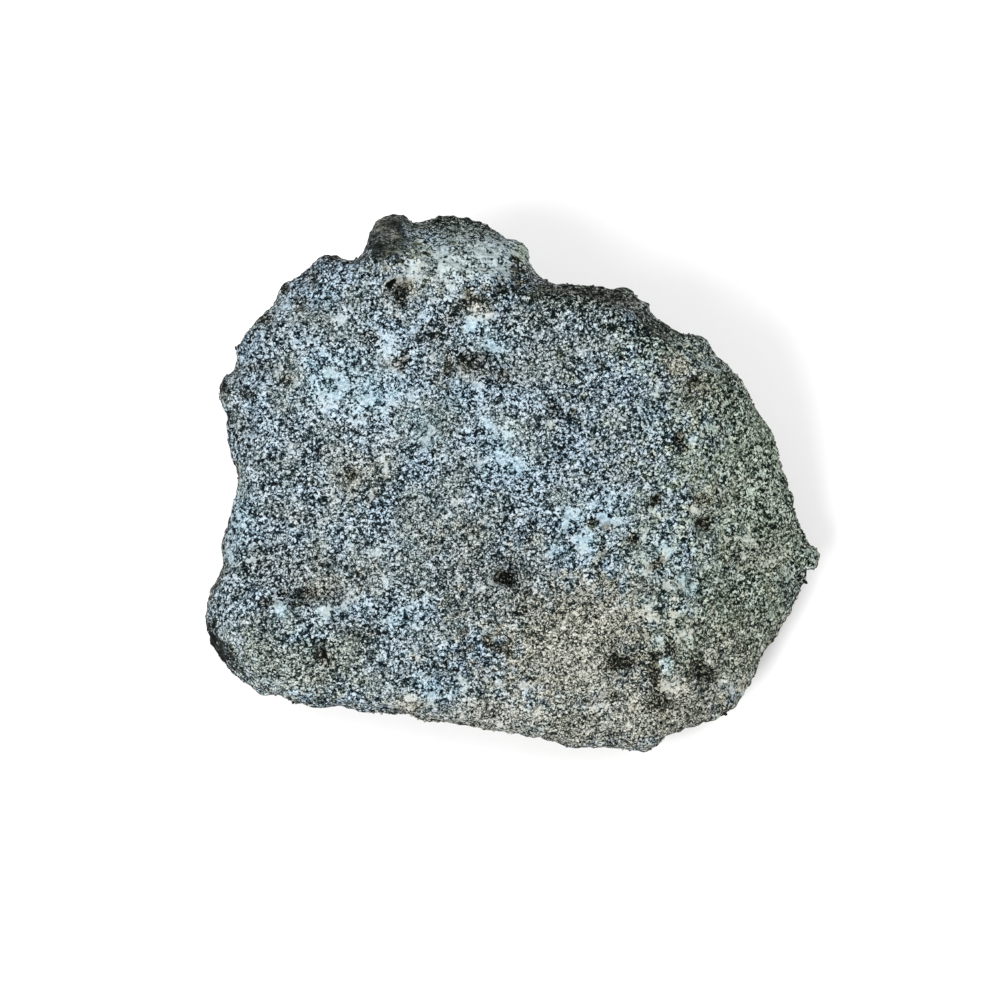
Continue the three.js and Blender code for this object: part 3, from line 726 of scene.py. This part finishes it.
scatter = bpy.data.node_groups.new("proud_grains", "GeometryNodeTree")
sockets = {}
for title, kind in (
    ("Surface", "NodeSocketGeometry"),
    ("Spacing", "NodeSocketFloat"),
    ("Grains per area", "NodeSocketFloat"),
    ("Smallest", "NodeSocketFloat"),
    ("Largest", "NodeSocketFloat"),
    ("Sunk", "NodeSocketFloat"),
    ("Ragged", "NodeSocketFloat"),
    ("Seed", "NodeSocketInt"),
):
    sockets[title] = scatter.interface.new_socket(title, in_out="INPUT", socket_type=kind)
scatter.interface.new_socket("Grains", in_out="OUTPUT", socket_type="NodeSocketGeometry")


def step(kind, inputs=None, **settings):
    """A Geometry Nodes node with its settings, and its inputs set or linked by name or number."""
    made = scatter.nodes.new(kind)
    for key, value in settings.items():
        setattr(made, key, value)
    for key, value in (inputs or {}).items():
        if isinstance(value, bpy.types.NodeSocket):
            scatter.links.new(value, made.inputs[key])
        else:
            made.inputs[key].default_value = value
    return made


def chance(kind, lowest, highest, shift):
    """A random number or vector between two others, from the tree's seed and a shift of it."""
    lower, result = RANDOM_SOCKETS[kind]
    seed = step("ShaderNodeMath", {0: given["Seed"], 1: float(shift)}, operation="ADD").outputs[0]
    picked = step(
        "FunctionNodeRandomValue", {lower: lowest, lower + 1: highest, "Seed": seed}, data_type=kind
    )
    return picked.outputs[result]


given = scatter.nodes.new("NodeGroupInput").outputs
place_now = step("GeometryNodeInputPosition").outputs[0]
height = step("ShaderNodeSeparateXYZ", {0: place_now}).outputs[2]
off_floor = step(
    "FunctionNodeCompare", {0: height, 1: UNDERSIDE_BARE}, data_type="FLOAT", operation="GREATER_THAN"
).outputs[0]
smooth = step("GeometryNodeInputNamedAttribute", {"Name": "dark_skin_and_shade"}, data_type="FLOAT").outputs[0]
rocky = step("ShaderNodeMath", {0: 1.0, 1: smooth}, operation="SUBTRACT", use_clamp=True).outputs[0]
sown = step(
    "GeometryNodeDistributePointsOnFaces",
    {
        "Mesh": given["Surface"],
        "Selection": off_floor,
        "Distance Min": given["Spacing"],
        "Density Max": given["Grains per area"],
        "Density Factor": rocky,
        "Seed": given["Seed"],
    },
    distribute_method="POISSON",
)
inwards = step("ShaderNodeMath", {0: given["Sunk"], 1: -1.0}, operation="MULTIPLY").outputs[0]
sinking = step(
    "ShaderNodeVectorMath", {0: sown.outputs["Normal"], "Scale": inwards}, operation="SCALE"
).outputs[0]
seats = step("GeometryNodeSetPosition", {0: sown.outputs["Points"], "Offset": sinking}).outputs[0]
ragged_low = step("ShaderNodeMath", {0: given["Ragged"], 1: -1.0}, operation="MULTIPLY").outputs[0]
choice = step("GeometryNodeJoinGeometry")
for shape in range(CRYSTAL_SHAPES):
    ball = step("GeometryNodeMeshIcoSphere", {"Radius": 1.0, "Subdivisions": 1}).outputs["Mesh"]
    knocks = chance("FLOAT_VECTOR", ragged_low, given["Ragged"], shift=11 + shape)
    broken = step("GeometryNodeSetPosition", {0: ball, "Offset": knocks}).outputs[0]
    single = step("GeometryNodeGeometryToInstance", {0: broken}).outputs[0]
    scatter.links.new(single, choice.inputs[0])
turn = chance("FLOAT_VECTOR", (0.0, 0.0, 0.0), FULL_TURN, shift=1)
size_now = chance("FLOAT", given["Smallest"], given["Largest"], shift=3)
lengths = step(
    "ShaderNodeVectorMath", {0: GRAIN_STRETCH, "Scale": size_now}, operation="SCALE"
).outputs[0]
planted = step(
    "GeometryNodeInstanceOnPoints",
    {
        "Points": seats,
        "Instance": choice.outputs[0],
        "Pick Instance": True,
        "Instance Index": chance("INT", 0, CRYSTAL_SHAPES - 1, shift=2),
        "Rotation": turn,
        "Scale": lengths,
    },
).outputs[0]
marked = step(
    "GeometryNodeStoreNamedAttribute",
    {0: planted, "Name": "crystal", "Value": chance("FLOAT", LOWEST_NUMBER, 1.0, shift=4)},
    data_type="FLOAT",
    domain="INSTANCE",
).outputs[0]
whole = step("GeometryNodeRealizeInstances", {0: marked}).outputs[0]
coloured = step("GeometryNodeSetMaterial", {0: whole, "Material": rock}).outputs[0]
scatter.links.new(coloured, scatter.nodes.new("NodeGroupOutput").inputs[0])

sower = bpy.data.objects.new("sower", skin.copy())
bpy.context.scene.collection.objects.link(sower)
sowing = sower.modifiers.new("sowing", "NODES")
sowing.node_group = scatter
for title, value in (
    ("Spacing", GRAIN_SPACING),
    ("Grains per area", GRAINS_PER_AREA),
    ("Smallest", GRAIN_SMALLEST),
    ("Largest", GRAIN_LARGEST),
    ("Sunk", GRAIN_SUNK),
    ("Ragged", GRAIN_RAGGED),
    ("Seed", GRAIN_SEED),
):
    sowing[sockets[title].identifier] = value
sown_now = sower.evaluated_get(bpy.context.evaluated_depsgraph_get())
grain_mesh = bpy.data.meshes.new_from_object(sown_now)
bpy.data.objects.remove(sower)
grain_mesh.name = "proud_grains"
grain_mesh.materials.pop(index=0)
grains = bpy.data.objects.new("proud_grains", grain_mesh)
bpy.context.scene.collection.objects.link(grains)
grain_mesh.shade_flat()
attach(grains, "root")

# The table that the stone lies on. It is a plain white sweep, lit by a broad soft light from the
# near left and a wider, weaker one from above, and the camera looks square onto the broad face.
TABLE_HALF = 3.0
TABLE_WHITE = (0.9, 0.9, 0.9, 1)
TABLE_ROUGHNESS = 0.9
ROOM_LIGHT = 0.62
LIT_POINT = (0, 0, 0.03)
LAMPS = (
    # name, place, width in metres and watts
    ("key", (-0.4, -0.55, 0.8), 0.5, 10.5),
    ("top", (0.35, 0.1, 1.1), 0.9, 7.0),
)
SENSOR_WIDTH = 36.0
FOCAL_LENGTH = 135.0
sweep = bpy.data.meshes.new("table")
sweep.from_pydata(
    [
        (-TABLE_HALF, -TABLE_HALF, 0),
        (TABLE_HALF, -TABLE_HALF, 0),
        (TABLE_HALF, TABLE_HALF, 0),
        (-TABLE_HALF, TABLE_HALF, 0),
    ],
    [],
    [(0, 1, 2, 3)],
)
table = bpy.data.objects.new("table", sweep)
bpy.context.scene.collection.objects.link(table)
white = bpy.data.materials.new("white_table")
white.use_nodes = True
white.node_tree.nodes["Principled BSDF"].inputs["Base Color"].default_value = TABLE_WHITE
white.node_tree.nodes["Principled BSDF"].inputs["Roughness"].default_value = TABLE_ROUGHNESS
sweep.materials.append(white)

world = bpy.data.worlds.new("studio")
world.use_nodes = True
world.node_tree.nodes["Background"].inputs["Color"].default_value = (1, 1, 1, 1)
world.node_tree.nodes["Background"].inputs["Strength"].default_value = ROOM_LIGHT
bpy.context.scene.world = world
for name, spot, size, power in LAMPS:
    lamp = bpy.data.lights.new(name, "AREA")
    lamp.shape = "DISK"
    lamp.size = size
    lamp.energy = power
    light = bpy.data.objects.new(name, lamp)
    light.location = spot
    aim = Vector(LIT_POINT) - Vector(spot)
    light.rotation_euler = aim.to_track_quat("-Z", "Y").to_euler()
    bpy.context.scene.collection.objects.link(light)

lens = bpy.data.cameras.new("camera")
lens.sensor_width = SENSOR_WIDTH
lens.lens = FOCAL_LENGTH
camera = bpy.data.objects.new("camera", lens)
bpy.context.scene.collection.objects.link(camera)
camera.location = (face_to_world @ EYE) / 1000
camera.rotation_euler = (FACE_LEAN, 0, 0)
bpy.context.scene.camera = camera
bpy.context.scene.view_settings.view_transform = "Standard"
